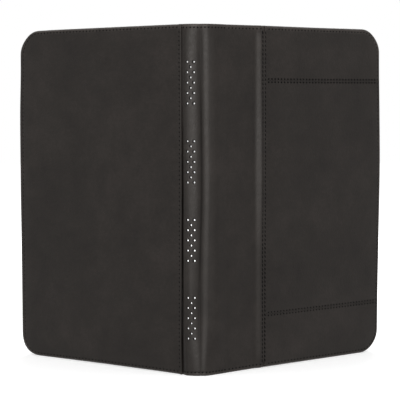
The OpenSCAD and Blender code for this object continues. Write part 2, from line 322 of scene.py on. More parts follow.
studio = {
    "worldLevel": 0.2,
    "keyPower": 4.3,  # soft box above
    "keyPlace": (-0.10, -1.30, 1.20),
    "keySize": (0.95, 0.70),
    "fillPower": 22.5,  # wide card behind the camera, which gives the sheen
    "fillPlace": (-0.03, -1.75, 0.34),
    "fillSize": (1.10, 0.45),
    "topPower": 13.0,  # wide strip overhead, for the upper edges
    "topPlace": (0.0, 0.0, 1.20),
    "topSize": (2.80, 0.80),
    "backPower": 11.0,  # lights the inside
    "backPlace": (0.15, 1.45, 1.10),
    "backSize": (1.20, 0.80),
    "aim": (0, 0, 0.15),
    "white": "#ffffff",
    "floorGlow": 0.36,  # the floor's own light near the object, which leaves room for a shadow
    "glowRun": (0.25, 0.7),  # it grows to white between these distances, in metres
    "floorHalf": 4,
}
white = toLinear(studio["white"])
world = bpy.data.worlds.new("whiteStudio")
bpy.context.scene.world = world
world.use_nodes = True
tree = world.node_tree
tree.nodes.clear()
ray = addNode(tree, "LightPath").outputs
seen = addNode(tree, "Math", {0: ray["Is Camera Ray"], 1: ray["Is Glossy Ray"]}, operation="MAXIMUM")
seen = addNode(tree, "Math", {0: seen, 1: ray["Is Transmission Ray"]}, operation="MAXIMUM")
level = addNode(tree, "MapRange", {"Value": seen, "To Min": studio["worldLevel"], "To Max": 1.0})
sky = addNode(tree, "Background", {"Color": white, "Strength": level})
addNode(tree, "OutputWorld", {"Surface": sky})

for word in ("key", "fill", "top", "back"):
    lamp = bpy.data.lights.new(word, "AREA")
    lamp.energy = studio[word + "Power"]
    lamp.shape = "RECTANGLE"
    lamp.size, lamp.size_y = studio[word + "Size"]
    stand = addObject(word, lamp)
    stand.location = studio[word + "Place"]
    stand.rotation_euler = (Vector(studio["aim"]) - stand.location).to_track_quat("-Z", "Y").to_euler()

# matt white paper sweep: pale, and it keeps a soft contact shadow
paper, tree = startMaterial("matt_white_paper")
ray = addNode(tree, "LightPath").outputs
tone = addNode(tree, "TexNoise", {"Scale": 40.0, "Detail": 3.0})
toneRamp = addNode(tree, "ValToRGB", {"Fac": tone.outputs["Fac"]})
setRamp(toneRamp, [(0.0, "#f2f2f2"), (1.0, "#f7f7f7")])
matt = addNode(tree, "BsdfDiffuse", {"Color": toneRamp})
spot = addNode(tree, "NewGeometry").outputs["Position"]
away = addNode(tree, "VectorMath", {0: spot}, operation="LENGTH").outputs["Value"]
fade = addNode(tree, "MapRange", {
    "Value": away, "From Min": studio["glowRun"][0], "From Max": studio["glowRun"][1],
    "To Min": studio["floorGlow"], "To Max": 1.0,
}, interpolation_type="SMOOTHSTEP")
glow = addNode(tree, "Math", {0: ray["Is Camera Ray"], 1: fade}, operation="MULTIPLY")
lit = addNode(tree, "Emission", {"Color": white, "Strength": glow})
both = addNode(tree, "AddShader", {0: matt, 1: lit})
mirrored = addNode(tree, "Math", {
    0: ray["Is Glossy Ray"], 1: ray["Is Transmission Ray"],
}, operation="MAXIMUM")
plainWhite = addNode(tree, "Emission", {"Color": white, "Strength": 1.0})
both = addNode(tree, "MixShader", {0: mirrored, 1: both, 2: plainWhite})
addNode(tree, "OutputMaterial", {"Surface": both})
half = studio["floorHalf"]
floorMesh = bpy.data.meshes.new("floor")
floorCorners = [(x * half, y * half, 0) for x, y in ((-1, -1), (1, -1), (1, 1), (-1, 1))]
floorMesh.from_pydata(floorCorners, [], [(0, 1, 2, 3)])
floorMesh.materials.append(paper)
floor = addObject("floor", floorMesh)

print("materials")
# Nappa leather, drum-dyed and plated: near-black with a faint warm cloudiness,
# fine low grain, a broad soft sheen
leatherLook = {
    # of these, the fold colour is painted shade for the spine's crease, and the last, lightest colour is edge
    # wear with a painted highlight on the edges
    "dark": "#141110", "mid": "#1b1816", "light": "#24201e", "fold": "#0d0b0a", "edgeWearAndHighlight": "#3c3734",
    "grain": 1.5,  # mm; real grain is about 0.8 mm, drawn coarser so that it shows
    "pore": 3.3,  # mm
    "cloud": 14.0,
    "patch": 55.0,
    "patchShare": 0.6,  # of the patches in the tone, then of the pores
    "poreShare": 0.35,
    "creasePaintedShade": 0.7,  # painted shade: the crease is darkened this far toward the fold colour, and it is duller
    "foldDull": 0.45,
    "rough": (0.40, 0.52),
    "specular": 0.2,
    "sheen": "#fffaf5",  # the finish warms its highlights a little
}


def makeLeather(name, look):
    material, tree = startMaterial(name)
    spot = addNode(tree, "TexCoord").outputs["Object"]
    cloud = addNode(tree, "TexNoise", {
        "Vector": spot, "Scale": 1000 / look["cloud"], "Detail": 4.0, "Roughness": 0.55,
    }).outputs["Fac"]
    patch = addNode(tree, "TexNoise", {
        "Vector": spot, "Scale": 1000 / look["patch"], "Detail": 2.0,
    }).outputs["Fac"]
    grain = addNode(tree, "TexVoronoi", {
        "Vector": spot, "Scale": 1000 / look["grain"], "Randomness": 0.9,
    }, feature="SMOOTH_F1").outputs["Distance"]
    pore = addNode(tree, "TexNoise", {
        "Vector": spot, "Scale": 1000 / look["pore"], "Detail": 5.0, "Roughness": 0.65,
    }).outputs["Fac"]
    crease = addNode(tree, "Attribute", attribute_name="crease").outputs["Fac"]  # 1 in the spine's crease, where shade is painted in and the finish is duller
    edgeWearAndHighlight = addNode(tree, "Attribute", attribute_name="edgeWearAndHighlight").outputs["Fac"]  # 1 at the outer edges: wear and a painted highlight, lighter and greyer
    mixed = addNode(tree, "Mix", {"Factor": look["patchShare"], 2: cloud, 3: patch})
    mixed = addNode(tree, "Mix", {"Factor": look["poreShare"], 2: mixed, 3: pore})
    colour = addNode(tree, "ValToRGB", {"Fac": mixed})
    setRamp(colour, [(0.34, look["dark"]), (0.5, look["mid"]), (0.68, look["light"])])
    # painted shade: the colour is darkened along the spine's crease
    shade = addNode(tree, "Math", {0: crease, 1: look["creasePaintedShade"]}, operation="MULTIPLY")
    colour = addNode(tree, "Mix", {
        "Factor": shade, 6: colour, 7: toLinear(look["fold"]),
    }, data_type="RGBA").outputs[2]
    # edge wear and a painted highlight: the outer edges are lightened, patchy with the clouds
    rubAndHighlight = addNode(tree, "Math", {0: edgeWearAndHighlight, 1: cloud}, operation="MULTIPLY")
    colour = addNode(tree, "Mix", {
        "Factor": rubAndHighlight, 6: colour, 7: toLinear(look["edgeWearAndHighlight"]),
    }, data_type="RGBA").outputs[2]
    rough = addNode(tree, "MapRange", {
        "Value": pore, "From Min": 0.3, "From Max": 0.7,
        "To Min": look["rough"][0], "To Max": look["rough"][1],
    })
    rough = addNode(tree, "Math", {
        0: crease, 1: look["foldDull"], 2: rough,
    }, operation="MULTIPLY_ADD", use_clamp=True)
    relief = addNode(tree, "Math", {0: pore, 1: grain}, operation="SUBTRACT")
    bump = addNode(tree, "Bump", {"Height": relief, "Strength": 0.3, "Distance": 0.0003})
    skin = addNode(tree, "BsdfPrincipled", {
        "Base Color": colour, "Roughness": rough, "Normal": bump,
        "Specular IOR Level": look["specular"], "Specular Tint": toLinear(look["sheen"]), "IOR": 1.5,
    })
    addNode(tree, "OutputMaterial", {"Surface": skin})
    return material


leather = makeLeather("nappa_leather_plated", leatherLook)


def plainFinish(name, look, kind, texture, relief, surface):  # one pattern that gives the tone and the relief
    material, tree = startMaterial(name)
    spot = addNode(tree, "TexCoord").outputs["Object"]
    pattern = addNode(tree, kind, {"Vector": spot, **texture}).outputs[0]
    colour = addNode(tree, "ValToRGB", {"Fac": pattern})
    setRamp(colour, look["tones"])
    surface = {"Base Color": colour, **surface}
    if relief:
        surface["Normal"] = addNode(tree, "Bump", {"Height": pattern, **relief})
    skin = addNode(tree, "BsdfPrincipled", surface)
    addNode(tree, "OutputMaterial", {"Surface": skin})
    return material


# Polyester sewing thread, bonded and twisted: near-black, darker than the hide, which also paints in the
# shade of its needle holes; faint ply lines, a dull gloss
threadLook = {"tones": [(0.35, "#030303"), (0.65, "#090808")], "ply": 0.5}  # mm between plies
thread = plainFinish(
    "polyester_thread_bonded", threadLook, "TexNoise", {"Scale": 1000 / threadLook["ply"], "Detail": 2.0},
    {"Strength": 0.4, "Distance": 0.0001}, {"Roughness": 0.7, "Specular IOR Level": 0.06})

# Greyboard, pressed from recycled fibre: grey-brown, flecked, quite matt
boardLook = {"tones": [(0.35, "#7d786e"), (0.65, "#9a958a")], "fleck": 2.0}  # mm
greyboard = plainFinish(
    "greyboard_pressed", boardLook, "TexNoise", {"Scale": 1000 / boardLook["fleck"], "Detail": 6.0},
    None, {"Roughness": 0.95, "Specular IOR Level": 0.2})

# Polyethylene foam, cut from sheet: charcoal with open cut cells, dry and matt
foamLook = {"tones": [(0.1, "#2a2a2c"), (0.6, "#3c3c3f")], "cell": 0.9}  # mm
foam = plainFinish(
    "polyethylene_foam_cut", foamLook, "TexVoronoi", {"Scale": 1000 / foamLook["cell"]},
    None, {"Roughness": 0.9, "Specular IOR Level": 0.3})

# Microfibre suede, brushed: dark grey, matt, with a soft nap that lies in cloudy strokes
suedeLook = {
    "dark": "#3a3938", "light": "#4c4a48", "sheen": "#8a8886",
    "nap": 1.2,  # mm, drawn coarser than it is
    "stroke": 30.0,
}
suede, tree = startMaterial("microfibre_suede_brushed")
spot = addNode(tree, "TexCoord").outputs["Object"]
nap = addNode(tree, "TexNoise", {
    "Vector": spot, "Scale": 1000 / suedeLook["nap"], "Detail": 4.0, "Roughness": 0.7,
}).outputs["Fac"]
stroke = addNode(tree, "TexNoise", {
    "Vector": spot, "Scale": 1000 / suedeLook["stroke"], "Detail": 3.0, "Distortion": 0.8,
}).outputs["Fac"]
mixed = addNode(tree, "Math", {0: nap, 1: stroke}, operation="ADD")
mixed = addNode(tree, "Math", {0: mixed, 1: 0.5}, operation="MULTIPLY")
colour = addNode(tree, "ValToRGB", {"Fac": mixed})
setRamp(colour, [(0.36, suedeLook["dark"]), (0.64, suedeLook["light"])])
bump = addNode(tree, "Bump", {"Height": nap, "Strength": 0.5, "Distance": 0.0003})
napSkin = addNode(tree, "BsdfPrincipled", {
    "Base Color": colour, "Roughness": 0.92, "Normal": bump, "Specular IOR Level": 0.1,
    "Sheen Weight": 0.25, "Sheen Roughness": 0.5, "Sheen Tint": toLinear(suedeLook["sheen"]),
})
addNode(tree, "OutputMaterial", {"Surface": napSkin})

# Woven elastic: black cross ribs over rubber cores, matt with a slight gloss on each rib
elasticLook = {"dark": "#0e0e0e", "light": "#1d1c1c", "rib": 0.8, "yarn": 0.4}  # mm between ribs and yarns
elastic, tree = startMaterial("elastic_webbing_woven")
flat = addNode(tree, "UVMap", uv_map="weave").outputs["UV"]
ribs, yarns = (
    addNode(tree, "TexWave", {
        "Vector": flat, "Scale": math.pi / (10 * elasticLook[word]),
    }, bands_direction=direction).outputs["Fac"]
    for word, direction in (("rib", "X"), ("yarn", "Y"))
)
weave = addNode(tree, "Math", {0: ribs, 1: yarns}, operation="MULTIPLY")
colour = addNode(tree, "ValToRGB", {"Fac": weave})
setRamp(colour, [(0.1, elasticLook["dark"]), (0.8, elasticLook["light"])])
bump = addNode(tree, "Bump", {"Height": weave, "Strength": 0.6, "Distance": 0.0004})
webbingSkin = addNode(tree, "BsdfPrincipled", {
    "Base Color": colour, "Roughness": 0.7, "Normal": bump, "Specular IOR Level": 0.25,
})
addNode(tree, "OutputMaterial", {"Surface": webbingSkin})

panelParts = ("bottom", "centre", "top")
hidden = [("front_board", greyboard)] + [(f"front_{part}_padding", foam) for part in panelParts]
for nodeName, finish in hidden:  # these keep their solids
    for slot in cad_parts[nodeName].material_slots:
        slot.link = "OBJECT"
        slot.material = finish

print("spine wrap")
wrap = {
    "lining": 0.8,
    "edge": 1.05,  # half the folded edge's thickness
    "edgeBack": 0.4,  # its middle lies this far inside the hide's
    # height and place of the turn-in's steps, behind the folded edge
    "turned": [(2.8, -1.45), (6.0, -1.45), (9.5, -1.45), (9.9, -1.35), (10.0, -1.1), (10.0, -0.65)],
    "valley": 0.16,  # the line that each row of stitches pulls in, its depth and half its width
    "valleyWide": 0.6,
    # slope of the slack hide at each x from the fold line: a broad ridge, a sharp crease, a ridge
    "slope": [(-13.6, 0.5), (-12.5, 0.35), (-11, 0.24), (-9.5, 0.15), (-8, 0.07), (-7, 0.0), (-5.5, -0.07),
              (-4, -0.14), (-2.5, -0.23), (-1, -0.36), (0.3, -0.55), (0.75, -0.6), (1.05, 0.6), (1.6, 0.52),
              (2.2, 0.42), (3.2, 0.27), (4.4, 0.13), (5.4, 0.04), (6.2, 0.0), (7.5, -0.15), (9, -0.25),
              (10.5, -0.29), (12, -0.33), (13.5, -0.4), (15, -0.5), (17, -0.66), (19, -0.74), (24, -0.74),
              (27, -0.662)],
    # how deep the hide dips beside the back cover's edge, at each height
    "groove": [(0, 0.3), (12, 1.0), (35, 2.8), (110, 2.8), (170, 1.8),
               (205, 0.5), (235, -0.3), (265, -0.6), (315, -0.5)],
    "dropRun": (-15.6, 1.3),  # the whole dip up to this x, and none after this run
    "keepRun": (10, 4),  # it keeps to that edge from this far off the fold line, over this run
    # the foot of the spine is rounder: how far forward it stands along the hide, and up to which height
    "slackLow": [(-17.6, 0.2), (-16.7, 0.4), (-15.9, 1.1), (-15, 2.3), (-13.5, 2.8), (-11, 2.25), (-9, 1.8),
                 (-4, 0.9), (0, 0.5), (4, 0.9), (8, 0.9), (14, 0.5), (26, 0.0)],
    "lowUpTo": 60.0,
    "lowShare": 0.25,  # of the upper form that is left at the very foot
    "topShare": 0.8,  # of the slack that is left at the top edge, and where it grows below that
    "topRun": (1, 14),
    "crease": 0.9,  # its x, and its place from there at each height
    "wander": [(0, -0.7), (70, -1.7), (112, -0.8), (158, 0.5), (250, 0.1), (315, -0.4)],
    "wanderReach": 10,
    "creaseWide": 0.9,  # of the dull line of painted shade in it
    "softRun": (225.0, 65),  # it is softer from this height up, over this run
    "softSlope": 0.36,
    "softReach": 4.5,
    "footRun": (55, 60),  # its painted shade is fainter up there and below this, by this share
    "faint": 0.6,
    "holeSize": 2.6,
    "holeColumns": (-5.376, -8.926, -12.476),
    "holeStep": 4.6,
    "holeRows": 9,
    "groups": (51.9, 122.3, 192.7, 263.1),
    "backCut": -14.3,  # where the spine piece meets the strips at the other two folds
    "frontCut": 14.0,
    "tongue": (30.0, 25.0, 21.0, 19.3),  # steps of u under the back cover
    "tongueEnd": 18.8,
    "liningSet": 10.15,  # from the upper and lower edges
    "liningRound": 0.35,
    "liningEnds": (19.35, 26.95),  # u at the back and the front
    "rowEnds": (18.9, 26.8),  # the same for the stitches
    "backBend": (19.0, 14.4),  # u between which the hide turns at each outer fold
    "midBend": (-8.0, 8.0),  # the same at the middle fold, along the hide
    "frontBend": (19.0, 27.0),
}
slackStep = 0.05
slackX = np.arange(-16.4, 27.01, slackStep)
slackSlope = np.interp(slackX, *np.array(wrap["slope"]).T)
outerRadius = foldRadius + hide / 2
fromArc = np.abs(slackX) - outerRadius * leanSin
onArc = fromArc < 0
arcX = np.where(onArc, slackX, 0)
arcHeight = np.sqrt(outerRadius**2 - arcX**2) - outerRadius
flankHeight = outerRadius * (leanCos - 1) - fromArc * leanSin / leanCos
slackLength = np.where(onArc, foldRadius * np.arcsin(arcX / outerRadius),
                       np.sign(slackX) * (arcLength + fromArc / leanCos))
dip = 1 - ease(slackX, *wrap["dropRun"])


def slackOf(slope):  # how far forward of the plain fold the slack hide stands
    rise = np.concatenate([[0], np.cumsum((slope[1:] + slope[:-1]) / 2 * slackStep)])
    forward = rise - np.where(onArc, arcHeight, flankHeight)
    return (forward - forward[-1]) * (1 - dip)


slackForward = slackOf(slackSlope)
nearCrease = np.abs(slackX - wrap["crease"]) < wrap["softReach"]
softened = np.clip(slackSlope, -wrap["softSlope"], wrap["softSlope"])
slackSoft = slackOf(np.where(nearCrease, softened, slackSlope))


def slackAt(s, z):
    s, z = asArrays(s, z)
    reach = wrap["wanderReach"]
    near = ease(reach - np.abs(s), 0, reach)  # the crease wanders, the folds at its sides don't
    beside = s + ease(-s, *wrap["keepRun"]) * curveThrough(case["flapDrift"], z)
    shifted = beside - near * curveThrough(wrap["wander"], z)
    soft = ease(z, *wrap["softRun"])
    sharp, mild = (np.interp(shifted, slackLength, forward) for forward in (slackForward, slackSoft))
    part = wrap["lowShare"] + (1 - wrap["lowShare"]) * ease(z / wrap["lowUpTo"])
    slack = part * (sharp * (1 - soft) + mild * soft) + (1 - part) * curveThrough(wrap["slackLow"], s)
    slack = slack * (wrap["topShare"] + (1 - wrap["topShare"]) * ease(height - z, *wrap["topRun"]))
    return slack - curveThrough(wrap["groove"], z) * np.interp(beside, slackLength, dip)


def placeSpine(s, out, z):  # as placeWrap, with the hide's slack
    points = placeWrap(s, out, z)
    points[..., 1] -= slackAt(s, z) / 1000
    return points


def stitchValley(distance):
    return wrap["valley"] * np.exp(-((np.asarray(distance, float) / wrap["valleyWide"]) ** 2))


def wrapFace(s, z):  # how far the hide's outside stands from its middle
    edge = np.minimum(z, height - z)
    return hide / 2 - stitchValley(edge - case["stitchSet"]) + 0 * s


edgeSteps = [1.4, 1.75, 2.05, 2.3, 2.55, 2.8, 3.05, 3.3, 3.6, 4.0, 4.8, 6.0, 8.0, 10.5, 13.5, 17.0]
wrapHeights = np.array(
    [wrap["edge"]] + edgeSteps + list(np.linspace(20, height - 20, 111))
    + [height - v for v in reversed(edgeSteps)] + [height - wrap["edge"]])


def wrapEdge(s, top):  # folded edge and turn-in at one end, as a grid over s
    half = wrap["edge"]
    rows = [(half - half * math.sin(a), half * math.cos(a) - wrap["edgeBack"])
            for a in np.radians(range(0, 181, 15))] + wrap["turned"]
    return np.array([placeSpine(s, out, height - z if top else z) for z, out in rows])


def wrapStrip(name, lengths):  # a strip of the hide without holes
    s = np.array(lengths)
    zGrid = wrapHeights[:, None]
    face = placeSpine(s[None, :], wrapFace(s[None, :], zGrid), zGrid)
    return addPiece(name, [face, wrapEdge(s, False), wrapEdge(s, True)], leather)


backLengths = list(np.linspace(-wrapOf(wrap["tongueEnd"]), wrap["backCut"], 22))
backFold = wrapStrip("back_fold_leather", [-wrapOf(u) for u in wrap["tongue"]] + backLengths)
frontLengths = np.linspace(wrap["frontCut"], wrapOf(case["frontStiff"]), 28)
frontFold = wrapStrip("front_fold_leather", frontLengths)

holes = []
for groupZ in wrap["groups"]:
    for row in range(wrap["holeRows"]):  # pairs, with one hole between each two pairs
        z = groupZ + (row - wrap["holeRows"] // 2) * wrap["holeStep"]
        holes += [(s, z) for s in (wrap["holeColumns"][::2] if row % 2 == 0 else wrap["holeColumns"][1:2])]
holes = np.array(holes)


def punchedSheet(lengths, heights, rings, surface, sides=20):  # a sheet with every hole, its rim rolled in
    corners, marks, edges = [], [], []
    clear = rings[-1][0] + 0.25  # no grid point nearer to a hole than this
    for z in heights:
        for s in lengths:
            border = s in (lengths[0], lengths[-1]) or z in (heights[0], heights[-1])
            if border or np.hypot(holes[:, 0] - s, holes[:, 1] - z).min() > clear:
                corners.append((s, z, 0.0))
                marks.append(-1)
    for number, (s, z) in enumerate(holes):
        for ringNumber, (radius, drop) in enumerate(rings):
            start = len(corners)
            for k in range(sides):
                angle = 2 * math.pi * k / sides
                corners.append((s + radius * math.cos(angle), z + radius * math.sin(angle), drop))
                marks.append(number if ringNumber == 0 else -1)
            if ringNumber == 0:
                edges += [(start + k, start + (k + 1) % sides) for k in range(sides)]
    result = geometry.delaunay_2d_cdt([Vector(c[:2]) for c in corners], edges, [], 0, 1e-5, True)
    flatPoints, triangles, source = result[0], result[2], result[3]
    mark = [marks[ids[0]] for ids in source]
    drop = np.array([corners[ids[0]][2] for ids in source])
    s, z = np.array([(p.x, p.y) for p in flatPoints]).T
    points = placeSpine(s, surface(s, z, drop), z).tolist()
    faces = [t for t in triangles if not (mark[t[0]] >= 0 and mark[t[0]] == mark[t[1]] == mark[t[2]])]
    angles = 2 * math.pi * np.arange(sides) / sides
    for s, z in holes:  # each hole's wall, through to the back of the hide
        radius, drop = rings[0]
        ringS, ringZ = s + radius * np.cos(angles), z + radius * np.sin(angles)
        start = len(points)
        points += placeSpine(ringS, surface(ringS, ringZ, drop), ringZ).tolist()
        points += placeSpine(ringS, np.full(sides, -hide / 2), ringZ).tolist()
        for k in range(sides):
            after = (k + 1) % sides
            faces.append((start + k, start + after, start + sides + after, start + sides + k))
    return points, faces


spineLengths = np.concatenate([
    np.linspace(wrap["backCut"], -3.2, 14)[:-1], np.linspace(-3.2, 3.2, 17),
    np.linspace(3.2, wrap["frontCut"], 14)[1:],
])
holeRadius = wrap["holeSize"] / 2
leatherRings = [  # radius, and how far the rim is rolled in there
    (holeRadius, 0.42), (holeRadius + 0.05, 0.2), (holeRadius + 0.16, 0.07),
    (holeRadius + 0.42, 0.015), (holeRadius + 0.85, 0.0),
]
outside = punchedSheet(list(spineLengths), list(wrapHeights), leatherRings,
                       lambda s, z, drop: wrapFace(s, z) - drop)
spineEnds = [wrapEdge(spineLengths, False), wrapEdge(spineLengths, True)]
spine = addPiece("spine_leather", spineEnds, leather, [outside])
# the crease mask: painted shade and a duller finish along the spine's crease, weaker near the top and the
# foot
x, _, z = np.array([v.co for v in spine.data.vertices]).T * 1000
fromCrease = x + shiftX - wrap["crease"] - curveThrough(wrap["wander"], z)
faint = wrap["faint"] * (ease(z, *wrap["softRun"]) + 1 - ease(z, *wrap["footRun"]))
crease = spine.data.attributes.new("crease", "FLOAT", "POINT")
crease.data.foreach_set("value", np.exp(-((fromCrease / wrap["creaseWide"]) ** 2)) * (1 - faint))

liningSteps = [wrap["liningSet"], 10.4, 11.0, 13.0]
liningHeights = np.concatenate([
    liningSteps, np.linspace(16, height - 16, 60), [height - v for v in reversed(liningSteps)],
])
liningOut = -hide / 2 - wrap["lining"]
liningRings = [(holeRadius - 0.52, 0.22), (holeRadius - 0.42, 0.07), (holeRadius - 0.1, 0.0)]  # smaller holes


def liningFace(s, z, drop):
    edge = np.minimum(z, height - z) - wrap["liningSet"]
    return liningOut + drop + roundOver(edge, wrap["liningRound"])


liningLengths = np.linspace(wrap["backCut"], wrap["frontCut"], 22)
inside = punchedSheet(list(liningLengths), list(liningHeights), liningRings, liningFace)
spineLining = addPiece("spine_lining", [], suede, [inside])


def liningStrip(name, lengths):
    s, z = lengths[None, :], liningHeights[:, None]
    return addPiece(name, [placeSpine(s, liningFace(s, z, 0.0) + 0 * s, z)], suede)


liningBack, liningFront = wrapOf(wrap["liningEnds"][0]), wrapOf(wrap["liningEnds"][1])
backFoldLining = liningStrip("back_fold_lining", np.linspace(-liningBack, wrap["backCut"], 12))
frontFoldLining = liningStrip("front_fold_lining", np.linspace(wrap["frontCut"], liningFront, 20))

print("covers")
cover = {
    "edge": 2.0,  # radius of the turned edge, outside and inside
    "thinEdge": 0.9,  # the same where there is no board in it
    "pillow": 0.45,  # how far the padding crowns the panel
    "pillowRun": 11.0,  # over this run, from these insets at the edges and the seams
    "pillowEdge": 2.2,
    "pillowSeam": 1.0,
    "unevenness": 0.07,
    "flapRound": 0.65,
    "flapRow": 2.0,
    "seamRound": 0.35,
    "seamRow": 1.45,
    "bandRow": 2.1,  # the rows beside the upright seam
    "panelRow": 1.0,
    "rowLean": 0.5,  # how far they lean in at the foot
    "seamValley": 0.3,  # share of the edge rows' valley
    "valleyRun": 1.5,  # the edge rows' valley starts over this run
    "boardClear": 0.02,  # a column just past the board's start
    "mesh": 4.5,  # size of the faces away from the edges, and from where beside the hinge
    "meshFrom": 4.0,
}
faceInsets = [22, 18.5, 15, 12.5, 10, 8, 6.5, 5.5, 4.9, 4.5, 4.1, 3.75, 3.45, 3.2, 2.95, 2.7, 2.4, 2.15]
hingeSteps = [0.0, 0.06, 0.2, 0.4, 0.65, 0.9, 1.1, 1.3, 1.5, 1.8, 2.1, 2.45, 2.65, 2.8, 2.95, 3.05]
seamSteps = [0.0, 0.06, 0.2, 0.4, 0.65, 0.9, 1.15, 1.3, 1.45, 1.7, 2.1, 2.8, 4.0, 6.0, 9.0]
wallTop = hide - 0.05  # the hide's cut edges go down from here at the lowest
noEdge = 1e3  # stands for the distance from an edge that a panel doesn't have


def turnedEdge():  # (inset, depth) from the outside face round to the end of the turn-in
    inner, r = case["innerFace"], cover["edge"]
    rows = [(r - r * math.sin(a), r - r * math.cos(a)) for a in quarterTurn]
    rows += [(r - r * math.cos(a), inner - r + r * math.sin(a)) for a in quarterTurn]
    rows += [(inset, inner) for inset in (2.5, 2.8, 3.1, 4.0, 6.5, 9.4)]
    return rows + [(9.85, inner - 0.1), (10.0, inner - 0.4), (10.0, inner - 0.8)]


def thinTurnedEdge():  # the same for the bare hide, in as many steps
    r = cover["thinEdge"]
    rows = [(r - r * math.sin(a), r - r * math.cos(a)) for a in quarterTurn]
    rows += [(0.03 * k, r + (hide - r) * k / 6) for k in range(7)]
    return rows + [(0.3 + 0.3 * k, hide) for k in range(9)]


def coverPanel(name, word, low=0.0, high=height):
    side, outer, corner = 1 if word == "front" else -1, case[word + "Outer"], case["corner"]
    sideSet, endSet = case[word + "StitchSet"], case[word + "RowSet"]
    if side > 0:
        start, stiff = case["seam"] + case["seamGap"], 0
        hingeRow, hingeRound = cover["panelRow"], cover["seamRound"]
    else:
        start, stiff = case["backFlap"], case["backStiff"]
        hingeRow, hingeRound = cover["flapRow"], cover["flapRound"]
    seamLow, seamHigh = low > 0, high < height
    phase = 0.7 * side + low / 100  # each panel is uneven in its own way
    edgeU, far = outer - corner, start + cover["meshFrom"]
    evenU = np.linspace(far, edgeU, max(8, int((edgeU - far) / cover["mesh"])))
    boardU = [stiff + cover["boardClear"]] if stiff > start else []
    us = np.concatenate([[start + v for v in hingeSteps], boardU, evenU])
    lowSteps = [low + v for v in seamSteps] if seamLow else [corner]
    highSteps = [high - v for v in reversed(seamSteps)] if seamHigh else [height - corner]
    count = max(4, int((highSteps[0] - lowSteps[-1]) / cover["mesh"]))
    zs = np.array(lowSteps + list(np.linspace(lowSteps[-1], highSteps[0], count + 1)[1:-1]) + highSteps)

    def endInset(z):  # distance from the upper and lower edges
        return np.minimum(noEdge if seamLow else z, noEdge if seamHigh else height - z)

    def depth(u, z, inset):
        fromHinge = u - start
        fromSeam = np.minimum(z - low if seamLow else noEdge, high - z if seamHigh else noEdge) + 0 * u
        crown = ease(inset, cover["pillowEdge"], cover["pillowRun"])
        for distance in (fromHinge, fromSeam):
            crown = crown * ease(distance, cover["pillowSeam"], cover["pillowRun"])
        n = np.maximum(roundOver(fromHinge, hingeRound), roundOver(fromSeam, cover["seamRound"]))
        onSide = ease((u - edgeU) / np.maximum(corner - inset, 0.5))
        rowSet = endSet + onSide * (sideSet - endSet)
        n = n + stitchValley(inset - rowSet) * ease(fromHinge / cover["valleyRun"])
        n = n + stitchValley(fromHinge - hingeRow)
        n = n + cover["seamValley"] * stitchValley(fromSeam - cover["seamRow"])
        return n - crown * (cover["pillow"] + cover["unevenness"] * handWave(u, z, phase))

    def outline(inset):
        return coverOutline(us, zs, outer, inset, low=not seamLow, high=not seamHigh).T

    def wall(u, z, inset):  # a cut edge of the hide
        return placeCover(side, u, np.minimum(depth(u, z, inset), wallTop), z)

    rows = []
    for inset in faceInsets:
        u, z = outline(inset)
        rows.append(placeCover(side, u, depth(u, z, inset), z))
    for (inset, n), (thinInset, thinN) in zip(turnedEdge(), thinTurnedEdge()):
        (u, z), (thinU, thinZ) = outline(inset), outline(thinInset)
        thin = placeCover(side, thinU, thinN, thinZ)
        rows.append(np.where((u < stiff)[:, None], thin, placeCover(side, u, n, z)))
    u, z = np.broadcast_arrays(us[None, :], zs[:, None])
    grids = [np.array(rows), placeCover(side, u, depth(u, z, np.minimum(endInset(z), outer - u)), z)]
    z = np.concatenate([
        [] if seamLow else faceInsets[::-1], zs, [] if seamHigh else [height - v for v in faceInsets],
    ])
    grids.append(np.array([wall(start + 0 * z, z, endInset(z)), placeCover(side, start + 0.05, hide, z)]))
    u = np.concatenate([us, [outer - v for v in faceInsets[1:]]])
    for seamZ in ([low] if seamLow else []) + ([high] if seamHigh else []):
        grids.append(np.array([wall(u, seamZ + 0 * u, outer - u), placeCover(side, u, hide, seamZ)]))
    return addPiece(name, grids, leather)


gap = case["seamGap"]
backPanel = coverPanel("back_cover_leather", "back")
panelEnds = (
    (0, case["lowSeam"] - gap),
    (case["lowSeam"] + gap, case["highSeam"] - gap),
    (case["highSeam"] + gap, height),
)
frontPanels = [
    coverPanel(f"front_{part}_leather", "front", *ends) for part, ends in zip(panelParts, panelEnds)
]

band = {
    "edge": 1.3,
    # depth from the outside of the panels: flat, then a ridge up over the seam, then down to its stitches
    "section": [(27, 1.3), (45, 1.3), (54, 1.42), (57, 1.42), (59, 1.15), (60.5, 0.65), (62, -0.1),
                (63.5, -0.85), (64.9, -1.3), (65.5, -1.15), (66.0, -0.5), (66.4, 0.05), (66.75, 0.2),
                (67.4, 0.15), (69.3, 0.1)],
    # the ridge's share at each height, and at the very ends, where they are turned in
    "ridge": [(0, 0.86), (49, 0.9), (103, 0.93), (157, 1.3), (211, 1.34), (265, 1.12), (315, 1.08)],
    "endShare": 0.55,
    "endRun": (1.5, 9),
    "unevenness": 0.1,
    "phase": 2.1,
    "evenRuns": ((2, 12), (0, 12), (2, 8)),  # it fades at the ends, the start and the seam
    "start": case["frontStiff"],
    "end": case["seam"] - gap,
    "glued": 3.0,  # depth to which the turn-in's ends are closed
}


def bandFace(u, z):
    edge = np.minimum(z, height - z)
    fromSeam = band["end"] - u
    uneven = band["unevenness"] * handWave(u, z, band["phase"])
    for distance, run in zip((edge, u - band["start"], fromSeam), band["evenRuns"]):
        uneven = uneven * ease(distance, *run)
    share = band["endShare"] + (1 - band["endShare"]) * ease(edge, *band["endRun"])
    share = share * curveThrough(band["ridge"], z)
    n = hide - share * (hide - curveThrough(band["section"], u)) - uneven
    n = n + stitchValley(edge - case["stitchSet"]) + stitchValley(fromSeam - cover["bandRow"])
    return n + roundOver(fromSeam, cover["seamRound"])


